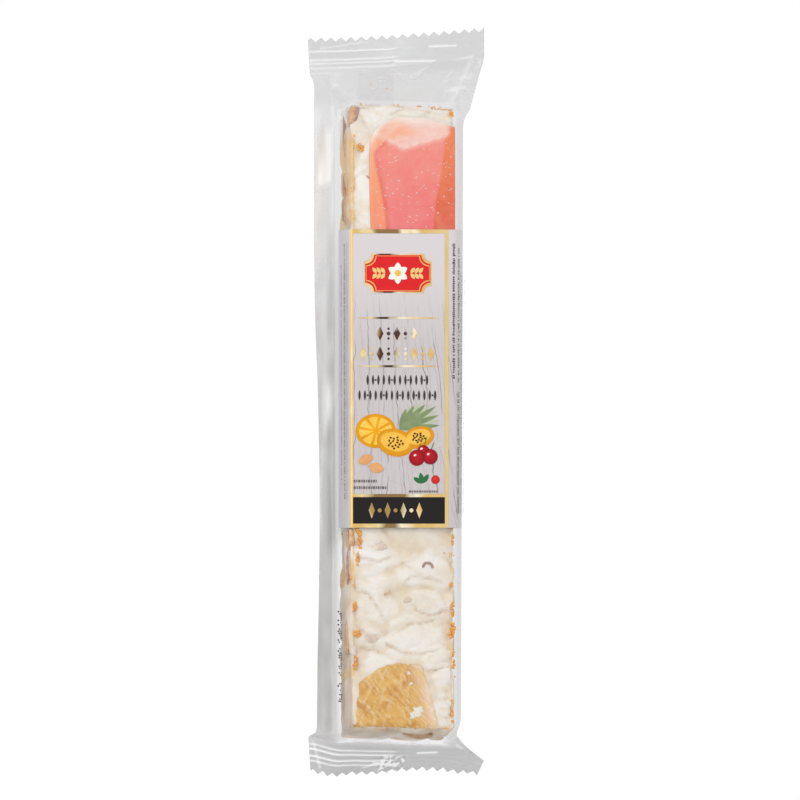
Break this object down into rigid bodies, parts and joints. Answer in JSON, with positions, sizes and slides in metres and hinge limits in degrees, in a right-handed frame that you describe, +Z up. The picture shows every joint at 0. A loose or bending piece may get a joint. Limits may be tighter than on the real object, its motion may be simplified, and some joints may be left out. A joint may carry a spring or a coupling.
{
  "type": "nougat bar in a clear flow-wrap pack",
  "caption": "Long rectangular soft nougat bar with fruit and nuts, sealed in a clear flow-wrap with a printed band, ribbed zigzag end crimps and a flat back fin.",
  "frame": {"origin": "centre of the pack's box, on the surface that it lies on", "axes": "+X across the bar towards its right, +Y along the bar towards the end with the flat crimp, +Z up out of the printed front"},
  "size_m": [0.049, 0.2066, 0.0172],
  "materials": {
    "film": "clear glossy wrapping film over the bar",
    "nougat": "soft creamy white nougat, folded and marbled",
    "fruit": "candied fruit pieces, pink and amber",
    "nut": "roasted nut pieces",
    "print": "pale grey printed band",
    "gold": "gold foil print"
  },
  "bodies": {
    "root": {"nougat_pack": "film"}
  },
  "joints": []
}
